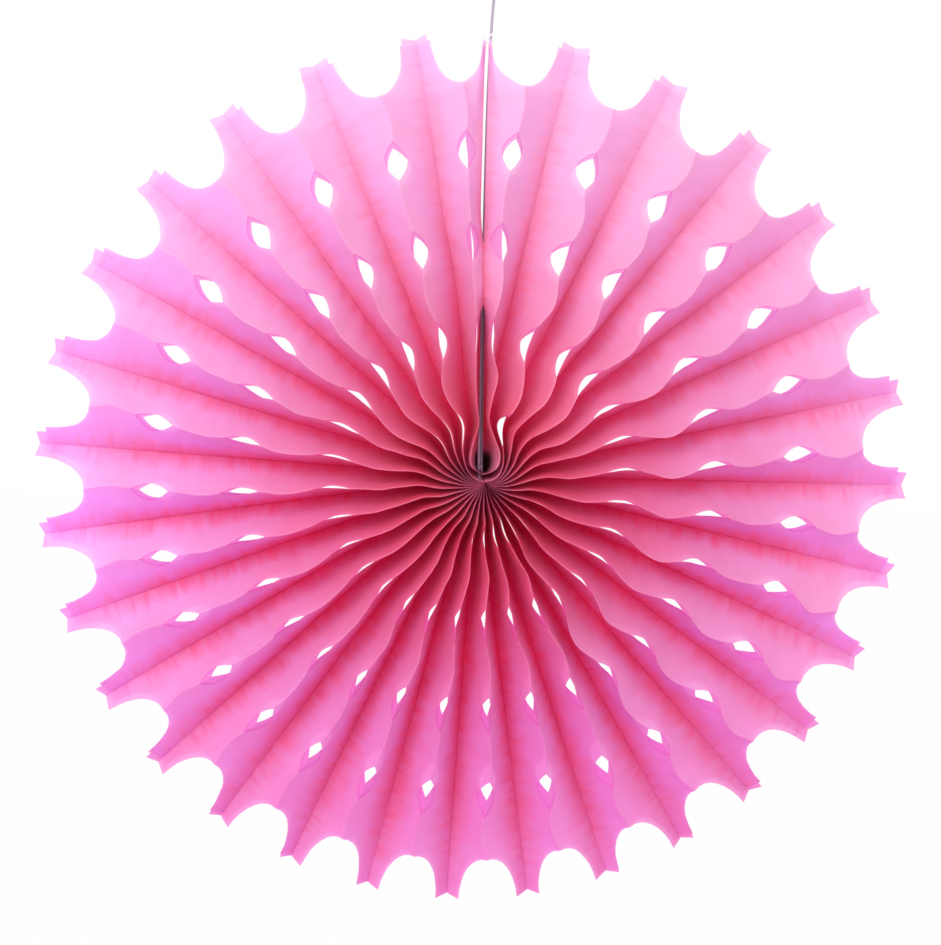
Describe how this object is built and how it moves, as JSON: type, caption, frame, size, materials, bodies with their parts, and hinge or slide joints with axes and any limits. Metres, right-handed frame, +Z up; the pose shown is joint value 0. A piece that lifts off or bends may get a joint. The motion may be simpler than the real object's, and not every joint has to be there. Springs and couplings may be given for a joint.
{
  "type": "paper fan rosette",
  "caption": "Hanging rosette of pleated tissue paper: a full-circle fan with scalloped points and rows of lens-shaped holes, tied at the waist on a double string.",
  "frame": {"origin": "middle of the gathered waist, which is the centre of the rosette", "axes": "+Z up along the hanging string, -Y towards the viewer and out of the front of the fan, +X to the viewer's right"},
  "size_m": [0.3996, 0.0317, 0.4381],
  "materials": {
    "tissue": "thin matt tissue paper",
    "string": "twisted cotton string",
    "thread": "fine white thread"
  },
  "bodies": {
    "root": {"front_tissue_sheet": "tissue", "back_tissue_sheet": "tissue", "waist_tie": "string", "hanging_string": "string", "hanging_loop": "string", "notch_tie": "thread", "tip_tie": "thread"}
  },
  "joints": []
}
